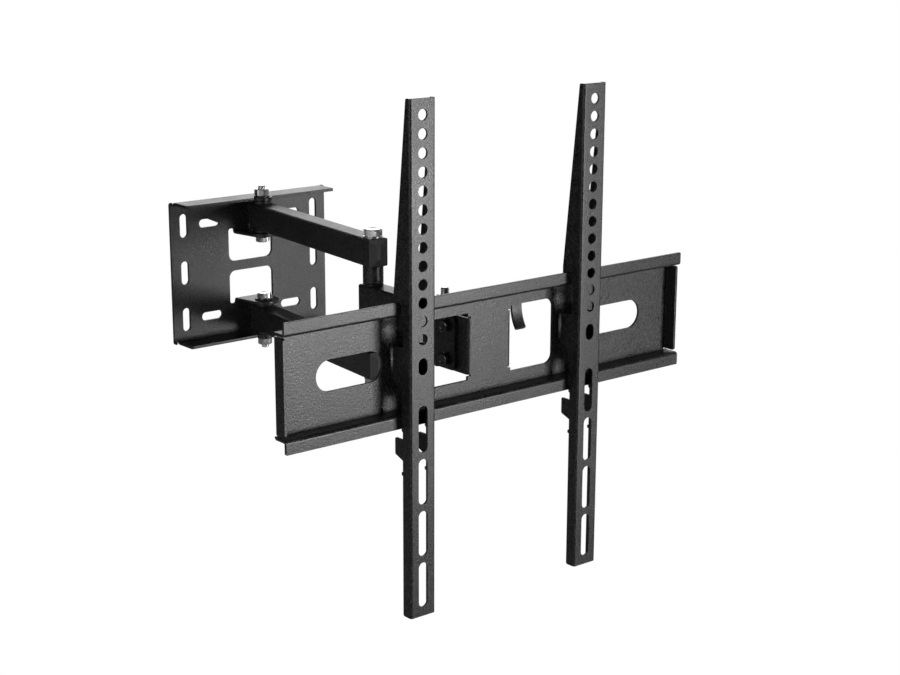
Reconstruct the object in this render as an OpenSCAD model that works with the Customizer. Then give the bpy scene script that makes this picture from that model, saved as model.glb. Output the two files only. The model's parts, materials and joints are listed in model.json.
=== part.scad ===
// Full motion television wall mount: wall plate, two folding arm stages, swivel head,
// tilting adapter plate and two sliding screen brackets.
// Axes: X along the wall, +Y into the wall, +Z up. The origin is on the wall plate's back face.
// The arms stand out along -Y, and every piece is symmetric about the height z = 0 unless noted.

/* [Wall plate] */
// Width of the wall plate
wall_w = 186; // [150:1:260]
// Height of the wall plate over its two flanges
wall_h = 145; // [120:1:190]
// Sheet thickness of the wall plate
wall_t = 3; // [2.5:0.1:4]
// Reach of the top and bottom flanges, from the wall's surface
wall_flange = 28; // [20:1:36]
// Distance of the flanges' ends from the plate's ends
flange_inset = 5; // [0:0.5:12]
// Length of each slot for a wall screw
wall_slot_l = 24; // [14:1:30]
// Width of each slot for a wall screw
wall_slot_w = 8.5; // [6:0.5:10]
// Distance of the upright slots from the plate's side edges
column_edge = 15; // [9:0.5:20]
// Distance of the highest and lowest slots from the plate's top and bottom
slot_edge = 24.5; // [20:0.5:26]
// Width of each window in the wall plate
window_w = 52; // [46:1:60]
// Half the height of the bar between the two windows
window_bar = 5; // [3:0.5:10]

/* [Arms] */
// Distance of the shoulder axis from the wall's surface
shoulder_y = 26; // [24:1:36]
// Length of the first arms between their two axes
first_len = 216; // [170:1:300]
// Turn of the first arms at rest, away from square to the wall
first_turn = 5.5; // [0:0.5:10]
// Length of the second arm between its two axes
second_len = 104; // [80:1:150]
// Width of every arm tube
tube_w = 20; // [18:0.5:24]
// Height of each first arm tube
first_h = 26; // [22:1:30]
// Height of the second arm tube
second_h = 44; // [36:1:48]
// Wall thickness of the arm tubes
tube_t = 2; // [1.5:0.1:3]
// Clear height over and under each first arm, filled by its bushes' flanges
arm_play = 3.5; // [3:0.1:6]
// Length of tube past each axis
tube_over = 8.5; // [8:0.25:10]
// Thickness of the plastic cap's face on a tube's end
cap_t = 2; // [1.5:0.1:3]

/* [Fasteners] */
// Diameter of the shoulder and swivel bolts
m_small = 8; // [8:0.5:9]
// Diameter of the elbow bolt
m_large = 10; // [9:0.5:11]
// Diameter of the tilt bolts
m_tilt = 6; // [5:0.5:6.5]
// Outer diameter of the elbow spacers
spacer_d = 19; // [17:0.5:20]

/* [Head] */
// Distance from the swivel axis to the nearest face of the head's web
web_y = 14.8; // [14.8:0.1:18]
// Sheet thickness of the head
head_t = 3; // [2.5:0.1:4]
// Distance of the tilt axis in front of the swivel axis
tilt_y = 36; // [30:0.5:44]
// Half the distance between each upper tilt bolt and the lower one
tilt_z = 14.6; // [14:0.1:15]

/* [Adapter plate] */
// Length of the adapter plate
plate_w = 435; // [360:1:560]
// Height of the plate's face between its two ledges
plate_h = 87; // [72:1:110]
// Sheet thickness of the plate
plate_t = 2.5; // [2:0.1:3]
// Distance of the plate's front face in front of the tilt axis
plate_ahead = 24.2; // [24:0.1:30]
// Depth of the ledges, from the plate's front face to the lips' front face
ledge = 13.7; // [12:0.1:16]
// Height of each lip past its ledge
lip_h = 9.2; // [8:0.1:12]
// Half the distance between the two windows
window_in = 24; // [24:0.5:26]
// Distance of the windows' far edges from the plate's centre
window_out = 72; // [66:1:80]
// Height of the two windows
window_h = 58; // [56:1:62]
// Distance of the long end slots' centres from the plate's ends
end_slot_in = 71; // [50:0.5:80]
// Length of the long end slots
end_slot_l = 65; // [40:1:80]
// Height of the long end slots
end_slot_h = 26; // [16:1:32]

/* [Screen brackets] */
// Length of each bracket
bracket_l = 430.6; // [350:0.2:520]
// Width of each bracket
bracket_w = 26; // [24:0.5:32]
// Sheet thickness of the brackets
bracket_t = 2; // [1.5:0.1:3]
// Distance of each bracket from the plate's centre at rest
bracket_x = 92.5; // [60:0.5:180]
// Diameter of the screw holes and width of the screw slots
hole_d = 9; // [7:0.5:10]
// Step between the round holes
hole_step = 15; // [14:0.5:15]
// Step between the long slots
long_step = 45; // [42:0.5:46]
// Length of the long slots
long_slot = 39.3; // [25:0.1:39.5]

/* [Hidden] */
$fn = 64;

// clearances
run = 0.05;        // radial clearance of a bolt in its hole
side_gap = 0.3;    // gap between faces that slide past each other
seat_gap = 0.1;    // gap under a washer that slides on a cheek
eps = 0.01;

// wall plate
column_x = wall_w / 2 - column_edge;   // upright slots' centre lines
slot_x = column_x - 30;                // level slots' centres along X
slot_z = wall_h / 2 - slot_edge;       // step of the slots along Z
tongue_r = 10.5;                       // radius of the flanges' round tongues
lug_r = 15;                            // radius of the inner lugs' round ends
notch_w = 6.5;                         // width of the relief notches beside a bend
notch_past = 2.5;                      // how far the notches run on past the bend
lug_w = window_w - 2 * notch_w;        // width of an inner lug at its root
window_r = 7;                          // corner radius of the wall plate's windows
flange_z = wall_h / 2 - wall_t;        // inner face of the flanges
arm_gap = flange_z - arm_play - first_h;  // half the clear height between the first arms
lug_z = arm_gap - arm_play - wall_t;   // height of the inner lugs' near faces

// arms
first_top = arm_gap + first_h;
elbow_x = -first_len * sin(first_turn);
elbow_y = -shoulder_y - first_len * cos(first_turn);
swivel_y = elbow_y - second_len;
bush_d = 12;                           // barrel of a plastic bush
bush_flange_d = 19;                    // flange of a plastic bush
bush_flange_t = 1.7;                   // flange thickness of the elbow bushes
cap_plug = 12;                         // depth of a cap's plug inside its tube
cap_wall = 1.5;

// fasteners: head height, head size over flats and washers
small_af = 13;
small_head = 5.3;
large_af = 16;
large_head = 6.4;
tilt_af = 10;
tilt_head = 4;
washer_t = 1.6;
tilt_washer_t = 1.2;
small_nut = 6.5;                       // nut heights
large_nut = 8;
swivel_nut_h = 4;
tilt_nut = 5;
small_past = 10;                       // bolt past the sheet and washer that its nut sits on
large_past = 11;
tilt_past = 7;

// head
flange_gap = 1.2;                      // space between the second arm and the head's flanges
head_flange_z = second_h / 2 + flange_gap;
head_flange_r = 14;
face_y = tilt_y + plate_ahead;         // front face of the adapter plate
ear_x = window_in;                     // outer faces of the adapter plate's ears
cheek_x = ear_x + side_gap;            // inner faces of the head's cheeks
cheek_front = tilt_y + 10.2;
cheek_z = 23.5;
ear_r = min(10, tilt_y - web_y - head_t - 8.2);
lock_r = 2 * tilt_z;
tilt_down = 15;                        // travel of the tilt, screen facing down
tilt_up = 5;                           // travel of the tilt, screen facing up

// adapter plate
lip_front = face_y + ledge;            // front faces of the lips
ledge_z = plate_h / 2;                 // outer faces of the ledges
lip_z = ledge_z + lip_h;               // free edges of the lips
end_slot_x = plate_w / 2 - end_slot_in;
end_flange = 11;                       // depth of the plate's end flanges
end_inset = 0.5;                       // the end flanges stand this far inside the ledges' ends
end_play = 1;                          // gap between the end flanges and the ledges
hook_w = 12;
hook_r = 36;
hook_angle = 35;
hook_set = 0.4;                        // the hook's root stands this far behind the face
hook_root = 1.5;                       // the hook's hold in the sheet above the window

// screen brackets
seat_depth = 12.3;                     // from the bracket's front face to the lips
bracket_front = lip_front + seat_depth;
top_depth = 5.8;                       // depth of the bracket's side walls at the top
hook_depth = 22;                       // depth of the side walls at the hook
mid_depth = seat_depth - side_gap;     // depth in front of the lips
low_depth = 10.5;                      // depth below the plate
waist_depth = 9.6;                     // depth between the plate's upper lip and the tongue
rest_depth = 22.9;                     // depth of the tongue that bears on the plate's face
first_hole_z = bracket_l / 2 - 12.8;
last_hole_z = 22;                      // the round holes stop above this height
hole_count = floor((first_hole_z - last_hole_z) / hole_step) + 1;
short_slot = 13.8;
long_top = -52.5;                      // centre of the highest long slot
long_end = 8;                          // sheet left below the lowest long slot
long_room = bracket_l / 2 - long_end - long_slot / 2 + long_top;
long_count = floor(long_room / long_step) + 1;

module slot_hole(l, w, h) {
    // rounded slot along X through a sheet that lies in the X-Y plane
    straight = l - w;
    translate([-straight / 2, -w / 2, 0])
        cube([straight, w, h]);
    for (s = [-1, 1])
        translate([s * straight / 2, 0, 0])
            cylinder(d = w, h = h);
}

module wall_cut(x, z, l, w, upright, depth) {
    // rounded slot through an upright sheet, cut along Y from y = 0 towards -Y
    translate([x, 1, z])
        rotate([90, 0, 0])
            rotate([0, 0, upright ? 90 : 0])
                slot_hole(l, w, depth + 2);
}

module rounded_window(x0, x1, z0, z1, r, depth) {
    // window with round corners through an upright sheet, cut along Y from y = 0 towards -Y
    translate([0, 1, 0])
        rotate([90, 0, 0])
            linear_extrude(depth + 2) {
                translate([x0 + r, z0])
                    square([x1 - x0 - 2 * r, z1 - z0]);
                translate([x0, z0 + r])
                    square([x1 - x0, z1 - z0 - 2 * r]);
                for (x = [x0 + r, x1 - r], z = [z0 + r, z1 - r])
                    translate([x, z])
                        circle(r);
            }
}

module hex_bolt(d, l, af, head) {
    // bolt along -Z with its head's seat at z = 0
    translate([0, 0, -l])
        cylinder(d = d, h = l + eps);
    cylinder(d = af / cos(30), h = head, $fn = 6);
}

module hex_nut(d, af, h) {
    difference() {
        cylinder(d = af / cos(30), h = h, $fn = 6);
        translate([0, 0, -1])
            cylinder(r = d / 2 + run, h = h + 2);
    }
}

module ring(d, bore, h) {
    difference() {
        cylinder(d = d, h = h);
        translate([0, 0, -1])
            cylinder(r = bore / 2 + run, h = h + 2);
    }
}

module both_heights() {
    // the piece and its twin below the height z = 0
    children();
    mirror([0, 0, 1])
        children();
}

module at_shoulder() {
    translate([0, -shoulder_y, 0])
        children();
}

module at_first_arm() {
    at_shoulder()
        rotate([0, 0, -first_turn])
            children();
}

module at_first_elbow() {
    at_first_arm()
        translate([0, -first_len, 0])
            children();
}

module at_elbow() {
    translate([elbow_x, elbow_y, 0])
        children();
}

module at_swivel() {
    translate([elbow_x, swivel_y, 0])
        children();
}

module tongue(root_w, end_r, z, t) {
    // horizontal lug from the wall plate round the shoulder axis, with a round end
    reach = shoulder_y;
    translate([0, 0, z])
        difference() {
            union() {
                translate([0, -reach, 0])
                    cylinder(r = end_r, h = t);
                linear_extrude(t)
                    polygon([
                        [-root_w / 2, -wall_t / 2], [root_w / 2, -wall_t / 2],
                        [root_w / 2, -wall_t - 3], [end_r, -reach],
                        [-end_r, -reach], [-root_w / 2, -wall_t - 3]
                    ]);
            }
            translate([0, -reach, -1])
                cylinder(r = m_small / 2 + run, h = t + 2);
        }
}

module wall_plate() color("#1c1c1e") {
    difference() {
        translate([-wall_w / 2, -wall_t, -wall_h / 2])
            cube([wall_w, wall_t, wall_h]);
        for (sx = [-1, 1], z = [-slot_z, 0, slot_z])
            wall_cut(sx * column_x, z, wall_slot_l, wall_slot_w, true, wall_t);
        for (sx = [-1, 1], sz = [-1, 1])
            wall_cut(sx * slot_x, sz * slot_z, wall_slot_l, wall_slot_w, false, wall_t);
        both_heights() {
            rounded_window(-window_w / 2, window_w / 2, window_bar, lug_z, window_r, wall_t);
            // the bend takes the sheet above the window, so the opening runs up to the lug
            translate([-lug_w / 2 - notch_w, -wall_t - 1, lug_z - window_r - 1])
                cube([lug_w + 2 * notch_w, wall_t + 2, window_r + 1]);
            for (sx = [-1, 1])
                translate([sx * (lug_w + notch_w) / 2 - notch_w / 2, -wall_t - 1, lug_z - 1])
                    cube([notch_w, wall_t + 2, wall_t + notch_past + 1]);
        }
    }
    both_heights() {
        translate([-wall_w / 2 + flange_inset, -wall_flange, flange_z])
            difference() {
                cube([wall_w - 2 * flange_inset, wall_flange - wall_t / 2, wall_t]);
                translate([wall_w / 2 - flange_inset, wall_flange - shoulder_y, -1])
                    cylinder(r = m_small / 2 + run, h = wall_t + 2);
            }
        tongue(2 * tongue_r, tongue_r, flange_z, wall_t);
        tongue(lug_w, lug_r, lug_z, wall_t);
    }
}

shoulder_grip = wall_h / 2 - lug_z + 2 * washer_t;

module shoulder_bolts() color("silver")
    at_shoulder()
        both_heights()
            translate([0, 0, lug_z - washer_t])
                rotate([180, 0, 0])
                    hex_bolt(m_small, shoulder_grip + small_past, small_af, small_head);

module shoulder_washers() color("#1c1c1e")
    at_shoulder()
        both_heights() {
            translate([0, 0, lug_z - washer_t])
                ring(19, m_small, washer_t);
            translate([0, 0, wall_h / 2])
                ring(16, m_small, washer_t);
        }

module shoulder_nuts() color("silver")
    at_shoulder()
        both_heights()
            translate([0, 0, wall_h / 2 + washer_t])
                hex_nut(m_small, small_af, small_nut);

module arm_tube(l, h, bore) {
    // square cornered tube along -Y between two axes, with a cross hole at each
    difference() {
        translate([-tube_w / 2, -l - tube_over, -h / 2])
            cube([tube_w, l + 2 * tube_over, h]);
        translate([-tube_w / 2 + tube_t, -l - tube_over - 1, -h / 2 + tube_t])
            cube([tube_w - 2 * tube_t, l + 2 * tube_over + 2, h - 2 * tube_t]);
        translate([0, 0, -h / 2 - 1])
            cylinder(d = bore[0], h = h + 2);
        translate([0, -l, -h / 2 - 1])
            cylinder(d = bore[1], h = h + 2);
    }
}

module first_tube()
    translate([0, 0, arm_gap + first_h / 2])
        arm_tube(first_len, first_h, [bush_d, m_large + 2 * run]);

module upper_arm() color("#1c1c1e")
    at_first_arm()
        first_tube();

module lower_arm() color("#1c1c1e")
    at_first_arm()
        mirror([0, 0, 1])
            first_tube();

module tube_cap(h, room) {
    // plastic cap along -Y: a face over the tube's end and a hollow plug that clears the bolt
    inner_w = tube_w - 2 * tube_t;
    inner_h = h - 2 * tube_t;
    plug = min(cap_plug, room);
    translate([-tube_w / 2, -cap_t, -h / 2])
        cube([tube_w, cap_t, h]);
    difference() {
        translate([-inner_w / 2, -eps, -inner_h / 2])
            cube([inner_w, plug, inner_h]);
        translate([-inner_w / 2 + cap_wall, 0, -inner_h / 2 + cap_wall])
            cube([inner_w - 2 * cap_wall, plug + 1, inner_h - 2 * cap_wall]);
    }
}

cap_room_front = tube_over - m_large / 2 - 0.5;
cap_room_rear = tube_over - bush_d / 2 - 0.5;

module first_front_cap()
    at_first_arm()
        translate([0, -first_len - tube_over, arm_gap + first_h / 2])
            tube_cap(first_h, cap_room_front);

module first_rear_cap()
    at_first_arm()
        translate([0, tube_over, arm_gap + first_h / 2])
            mirror([0, 1, 0])
                tube_cap(first_h, cap_room_rear);

module upper_arm_front_cap() color("#151516")
    first_front_cap();

module upper_arm_rear_cap() color("#151516")
    first_rear_cap();

module lower_arm_front_cap() color("#151516")
    mirror([0, 0, 1])
        first_front_cap();

module lower_arm_rear_cap() color("#151516")
    mirror([0, 0, 1])
        first_rear_cap();

module flanged_bush(bore, flange_t, barrel) {
    // plastic bush with its flange's seat at z = 0, its flange above and its barrel below
    difference() {
        union() {
            cylinder(d = bush_flange_d, h = flange_t);
            translate([0, 0, -barrel])
                cylinder(d = bush_d, h = barrel + eps);
        }
        translate([0, 0, -barrel - 1])
            cylinder(r = bore / 2 + run, h = barrel + flange_t + 2);
    }
}

module shoulder_bushes() color("#2a2a2c")
    at_shoulder()
        both_heights() {
            translate([0, 0, first_top])
                flanged_bush(m_small, flange_z - first_top - side_gap, first_h / 2 - 1);
            translate([0, 0, arm_gap])
                rotate([180, 0, 0])
                    flanged_bush(m_small, arm_gap - lug_z - wall_t - side_gap, first_h / 2 - 1);
        }

module elbow_bolt() color("silver")
    at_first_elbow()
        translate([0, 0, first_top + washer_t])
            hex_bolt(m_large, 2 * first_top + 2 * washer_t + large_past, large_af, large_head);

module elbow_washers() color("silver")
    at_first_elbow()
        both_heights()
            translate([0, 0, first_top])
                ring(18, m_large, washer_t);

module elbow_nut() color("silver")
    at_first_elbow()
        translate([0, 0, -first_top - washer_t - large_nut])
            hex_nut(m_large, large_af, large_nut);

module elbow_spacer()
    at_first_elbow()
        translate([0, 0, second_h / 2 + bush_flange_t + side_gap])
            ring(spacer_d, m_large, arm_gap - second_h / 2 - bush_flange_t - side_gap);

module upper_elbow_spacer() color("#1c1c1e")
    elbow_spacer();

module lower_elbow_spacer() color("#1c1c1e")
    mirror([0, 0, 1])
        elbow_spacer();

module second_arm() color("#1c1c1e")
    at_elbow()
        arm_tube(second_len, second_h, [bush_d, bush_d]);

module second_arm_cap() color("#151516")
    at_elbow()
        translate([0, tube_over, 0])
            mirror([0, 1, 0])
                tube_cap(second_h, cap_room_rear);

module elbow_bushes() color("#2a2a2c")
    at_elbow()
        both_heights()
            translate([0, 0, second_h / 2])
                flanged_bush(m_large, bush_flange_t, second_h / 2 - 2);

module head_plate_hole(y, z, r) {
    // hole through both cheeks along X
    translate([-cheek_x - head_t - 1, -y, z])
        rotate([0, 90, 0])
            cylinder(r = r, h = 2 * (cheek_x + head_t + 1));
}

module cheek_outline() {
    // cheek seen along X: distance in front of the swivel axis against height
    r = 4;
    root = web_y + head_t / 2;
    translate([root, -cheek_z])
        square([cheek_front - root - r, 2 * cheek_z]);
    translate([root, -cheek_z + r])
        square([cheek_front - root, 2 * (cheek_z - r)]);
    for (s = [-1, 1])
        translate([cheek_front - r, s * (cheek_z - r)])
            circle(r);
}

module lock_slot() {
    // arc slot for the lower tilt bolts, centred on the tilt axis, from below it
    w = m_tilt + 2 * side_gap;
    h = 2 * (cheek_x + head_t + 1);
    translate([cheek_x + head_t + 1, -tilt_y, tilt_z])
        rotate([0, -90, 0])
            rotate([0, 0, 90]) {
                // here x runs along +Y and y along -Z, round the tilt axis
                rotate([0, 0, 90 - tilt_down])
                    rotate_extrude(angle = tilt_down + tilt_up)
                        translate([lock_r - w / 2, 0])
                            square([w, h]);
                for (a = [90 - tilt_down, 90 + tilt_up])
                    rotate([0, 0, a])
                        translate([lock_r, 0, 0])
                            cylinder(d = w - eps, h = h);
            }
}

module head_bracket() color("#1c1c1e")
    at_swivel() {
        difference() {
            union() {
                // web
                translate([-cheek_x - head_t, -web_y - head_t, -head_flange_z - head_t])
                    cube([2 * (cheek_x + head_t), head_t, 2 * (head_flange_z + head_t)]);
                // cheeks beside the adapter plate's ears
                for (s = [-1, 1])
                    translate([s * (cheek_x + head_t / 2) - head_t / 2, 0, 0])
                        rotate([90, 0, -90])
                            mirror([0, 0, 1])
                                linear_extrude(head_t)
                                    cheek_outline();
            }
            head_plate_hole(tilt_y, tilt_z, m_tilt / 2 + run);
            lock_slot();
        }
        // flanges over and under the second arm
        both_heights()
            translate([0, 0, head_flange_z])
                difference() {
                    union() {
                        cylinder(r = head_flange_r, h = head_t);
                        translate([-head_flange_r, -web_y - head_t / 2, 0])
                            cube([2 * head_flange_r, web_y + head_t / 2, head_t]);
                    }
                    translate([0, 0, -1])
                        cylinder(r = m_small / 2 + run, h = head_t + 2);
                }
    }

swivel_grip = 2 * (head_flange_z + head_t) + washer_t;

module swivel_bolt() color("silver")
    at_swivel()
        translate([0, 0, -head_flange_z - head_t])
            rotate([180, 0, 0])
                hex_bolt(m_small, swivel_grip + small_past, small_af, small_head);

module swivel_washer() color("silver")
    at_swivel()
        translate([0, 0, head_flange_z + head_t])
            ring(16, m_small, washer_t);

module swivel_nut() color("silver")
    at_swivel()
        translate([0, 0, head_flange_z + head_t + washer_t])
            hex_nut(m_small, small_af, swivel_nut_h);

module swivel_bushes() color("#2a2a2c")
    at_swivel()
        both_heights()
            translate([0, 0, second_h / 2])
                flanged_bush(m_small, flange_gap - side_gap, second_h / 2 - 2);

module plate_window(x0, x1)
    translate([0, -face_y + plate_t, 0])
        rounded_window(x0, x1, -window_h / 2, window_h / 2, 8, plate_t);

module cable_hook()
    // tongue that hangs from a window's upper corner and curls forwards
    translate([window_in, -face_y + plate_t / 2 + hook_set - hook_r, window_h / 2 + hook_root])
        rotate([0, 90, 0])
            rotate([0, 0, 90 - hook_angle])
                rotate_extrude(angle = hook_angle)
                    translate([hook_r - plate_t / 2, 0])
                        square([plate_t, hook_w]);

module ear_outline() {
    // ear seen along X: distance in front of the swivel axis against height
    translate([tilt_y, -tilt_z - ear_r])
        square([face_y - plate_t / 2 - tilt_y, 2 * (tilt_z + ear_r)]);
    translate([tilt_y - ear_r, -tilt_z])
        square([ear_r + 1, 2 * tilt_z]);
    for (s = [-1, 1])
        translate([tilt_y, s * tilt_z])
            circle(ear_r);
}

module adapter_plate() color("#1c1c1e")
    at_swivel() {
        difference() {
            translate([-plate_w / 2 + end_inset, -face_y, -ledge_z])
                cube([plate_w - 2 * end_inset, plate_t, plate_h]);
            for (s = [-1, 1]) {
                plate_window(s > 0 ? window_in : -window_out, s > 0 ? window_out : -window_in);
                translate([0, -face_y + plate_t, 0])
                    wall_cut(s * end_slot_x, 0, end_slot_l, end_slot_h, false, plate_t);
                // square inner corners beside the ears
                translate([s * (window_in + 5) - 5, -face_y - 1, -window_h / 2])
                    cube([10, plate_t + 2, window_h]);
            }
        }
        // ledges and lips
        both_heights() {
            translate([-plate_w / 2, -lip_front, ledge_z - plate_t])
                cube([plate_w, ledge + plate_t / 2, plate_t]);
            translate([-plate_w / 2, -lip_front, ledge_z - plate_t / 2])
                cube([plate_w, plate_t, lip_h + plate_t / 2]);
        }
        // end flanges
        half = ledge_z - plate_t - end_play;
        for (s = [-1, 1])
            translate([s * (plate_w / 2 - end_inset - plate_t / 2), -face_y - end_flange, 0])
                translate([-plate_t / 2, 0, -half])
                    cube([plate_t, end_flange + plate_t / 2, 2 * half]);
        // ears that carry the tilt bolts
        for (s = [-1, 1])
            difference() {
                translate([s * (ear_x - plate_t / 2) - plate_t / 2, 0, 0])
                    rotate([90, 0, -90])
                        mirror([0, 0, 1])
                            linear_extrude(plate_t)
                                ear_outline();
                for (sz = [-1, 1])
                    translate([-ear_x - 1, -tilt_y, sz * tilt_z])
                        rotate([0, 90, 0])
                            cylinder(r = m_tilt / 2 + run, h = 2 * ear_x + 2);
            }
        cable_hook();
    }

module tilt_stack(z)
    // one place for the tilt hardware on each side, with its seat on the cheek's outer face
    at_swivel()
        for (s = [-1, 1])
            translate([s * (cheek_x + head_t + seat_gap), -tilt_y, z])
                rotate([0, s * 90, 0])
                    children();

tilt_grip = seat_gap + head_t + side_gap + plate_t;

module tilt_bolt(z)
    tilt_stack(z)
        translate([0, 0, tilt_washer_t])
            hex_bolt(m_tilt, tilt_grip + tilt_washer_t + tilt_past, tilt_af, tilt_head);

module tilt_pivot_bolts() color("#2c2c2e")
    tilt_bolt(tilt_z);

module tilt_lock_bolts() color("#2c2c2e")
    tilt_bolt(-tilt_z);

module tilt_washers() color("#2c2c2e")
    for (sz = [-1, 1])
        tilt_stack(sz * tilt_z)
            ring(12, m_tilt, tilt_washer_t);

module tilt_nuts() color("#2c2c2e")
    for (sz = [-1, 1])
        tilt_stack(sz * tilt_z)
            translate([0, 0, -tilt_grip - tilt_nut])
                hex_nut(m_tilt, tilt_af, tilt_nut);

module bracket_side() {
    // side wall seen along X: distance behind the bracket's front face against height
    top = bracket_l / 2;
    hook_top = lip_z + 4;
    notch_back = seat_depth + plate_t + side_gap + 0.1;
    foot = -lip_z - 8.8;                   // top of the finger below the plate
    nub = foot - 29.2;                     // middle of the small nub below the finger
    polygon([
        [0, top], [top_depth, top],
        [hook_depth, hook_top], [hook_depth, ledge_z + 2],
        [notch_back, ledge_z + 2], [notch_back, lip_z + side_gap],
        [mid_depth, lip_z + side_gap], [mid_depth, ledge_z - 1],
        [waist_depth, ledge_z - 2.5], [waist_depth, 16],
        [rest_depth, 14], [rest_depth, -13], [rest_depth - 3, -16],
        [mid_depth, -16], [mid_depth, -lip_z - 1.5], [low_depth, -lip_z - 2.5],
        [low_depth, foot], [20.7, foot], [20.7, foot - 14.2], [low_depth, foot - 18],
        [low_depth, nub + 1.7], [low_depth + 1.7, nub + 1.3],
        [low_depth + 1.7, nub - 1.3], [low_depth, nub - 1.7],
        [low_depth, -top], [0, -top]
    ]);
}

module screen_bracket()
    translate([0, -bracket_front, 0])
        union() {
            difference() {
                translate([-bracket_w / 2, 0, -bracket_l / 2])
                    cube([bracket_w, bracket_t, bracket_l]);
                for (i = [0 : hole_count - 1])
                    translate([0, -1, first_hole_z - i * hole_step])
                        rotate([-90, 0, 0])
                            cylinder(d = hole_d, h = bracket_t + 2);
                translate([0, bracket_t, 0])
                    wall_cut(0, 0, short_slot, hole_d, true, bracket_t);
                for (i = [0 : long_count - 1])
                    translate([0, bracket_t, 0])
                        wall_cut(0, long_top - i * long_step, long_slot, hole_d, true, bracket_t);
            }
            for (s = [-1, 1])
                translate([s * (bracket_w - bracket_t) / 2 - bracket_t / 2, 0, 0])
                    rotate([90, 0, 90])
                        linear_extrude(bracket_t)
                            bracket_side();
        }

module left_bracket() color("#1c1c1e")
    at_swivel()
        translate([-bracket_x, 0, 0])
            screen_bracket();

module right_bracket() color("#1c1c1e")
    at_swivel()
        translate([bracket_x, 0, 0])
            screen_bracket();

wall_plate();
shoulder_bolts();
shoulder_washers();
shoulder_nuts();
upper_arm();
lower_arm();
upper_arm_front_cap();
upper_arm_rear_cap();
lower_arm_front_cap();
lower_arm_rear_cap();
shoulder_bushes();
elbow_bolt();
elbow_washers();
elbow_nut();
upper_elbow_spacer();
lower_elbow_spacer();
second_arm();
second_arm_cap();
elbow_bushes();
head_bracket();
swivel_bolt();
swivel_washer();
swivel_nut();
swivel_bushes();
adapter_plate();
tilt_pivot_bolts();
tilt_lock_bolts();
tilt_washers();
tilt_nuts();
left_bracket();
right_bracket();
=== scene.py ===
import json
import math

import bmesh
import bpy
import numpy as np
from mathutils import Matrix, Vector
from mathutils.geometry import delaunay_2d_cdt


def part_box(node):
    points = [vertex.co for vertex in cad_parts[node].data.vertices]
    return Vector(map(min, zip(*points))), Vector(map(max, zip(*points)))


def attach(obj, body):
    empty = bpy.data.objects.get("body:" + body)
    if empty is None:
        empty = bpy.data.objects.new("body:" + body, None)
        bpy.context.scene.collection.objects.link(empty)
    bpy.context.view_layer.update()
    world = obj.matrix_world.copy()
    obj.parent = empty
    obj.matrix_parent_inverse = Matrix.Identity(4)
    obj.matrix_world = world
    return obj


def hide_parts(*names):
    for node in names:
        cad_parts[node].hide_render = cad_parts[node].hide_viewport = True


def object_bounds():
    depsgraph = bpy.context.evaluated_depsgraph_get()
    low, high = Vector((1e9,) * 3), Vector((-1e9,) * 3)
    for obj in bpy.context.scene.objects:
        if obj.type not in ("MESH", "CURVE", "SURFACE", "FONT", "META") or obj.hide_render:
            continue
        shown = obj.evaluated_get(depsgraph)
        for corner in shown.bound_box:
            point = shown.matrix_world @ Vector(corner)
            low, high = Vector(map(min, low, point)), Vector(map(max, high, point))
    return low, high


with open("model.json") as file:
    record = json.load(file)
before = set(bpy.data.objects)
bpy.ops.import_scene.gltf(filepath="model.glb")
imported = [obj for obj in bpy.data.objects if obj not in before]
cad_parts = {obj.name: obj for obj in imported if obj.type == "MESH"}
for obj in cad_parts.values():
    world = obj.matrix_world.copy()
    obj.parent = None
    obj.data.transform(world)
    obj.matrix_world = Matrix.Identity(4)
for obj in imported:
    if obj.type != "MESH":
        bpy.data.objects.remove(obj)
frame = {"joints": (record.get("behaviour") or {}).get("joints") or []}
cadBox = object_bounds()

mm = 0.001
quarter = math.pi / 2
joints = {joint["name"]: joint for joint in frame["joints"]}
shoulderAt = np.array(joints["shoulder"]["pos_m"]) * [1, 1, 0]
elbowAt = np.array(joints["elbow"]["pos_m"]) * [1, 1, 0]
swivelAt = np.array(joints["swivel"]["pos_m"]) * [1, 1, 0]
tiltAt = np.array(joints["tilt"]["pos_m"])
firstReach = (elbowAt - shoulderAt) / mm
firstLength = float(np.linalg.norm(firstReach))
firstTurn = math.atan2(firstReach[0], -firstReach[1])      # the first arms' turn from square to the wall


def boxOf(node):
    # lowest and highest corner of a CAD node, in millimetres
    low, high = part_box(node)
    return np.array(low) / mm, np.array(high) / mm


class Shade:
    # wraps one socket, so that sums and products of sockets add their Math nodes

    def __init__(self, tree, socket=None):
        self.tree, self.socket = tree, socket

    def node(self, kind, settings=None, inputs=None, out=0):
        made = self.tree.nodes.new(kind)
        for name, value in (settings or {}).items():
            setattr(made, name, value)
        for name, value in (inputs or {}).items():
            if isinstance(value, Shade):
                self.tree.links.new(value.socket, made.inputs[name])
            else:
                made.inputs[name].default_value = value
        return Shade(self.tree, made.outputs[out])

    def math(self, operation, first, second):
        return self.node("ShaderNodeMath", {"operation": operation}, {0: first, 1: second})

    def __add__(self, other):
        return self.math("ADD", self, other)

    __radd__ = __add__

    def __sub__(self, other):
        return self.math("SUBTRACT", self, other)

    def __rsub__(self, other):
        return self.math("SUBTRACT", other, self)

    def __mul__(self, other):
        return self.math("MULTIPLY", self, other)

    __rmul__ = __mul__


def mixColours(share, low, high):
    return share.node(
        "ShaderNodeMix", {"data_type": "RGBA"}, {0: share, 6: (*low, 1), 7: (*high, 1)}, out=2
    )


def newMaterial(name):
    material = bpy.data.materials.new(name)
    material.use_nodes = True
    tree = material.node_tree
    shader = tree.nodes["Principled BSDF"]
    start = Shade(tree)
    place = start.node("ShaderNodeTexCoord", out="Object")
    return material, tree, shader, place


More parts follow.
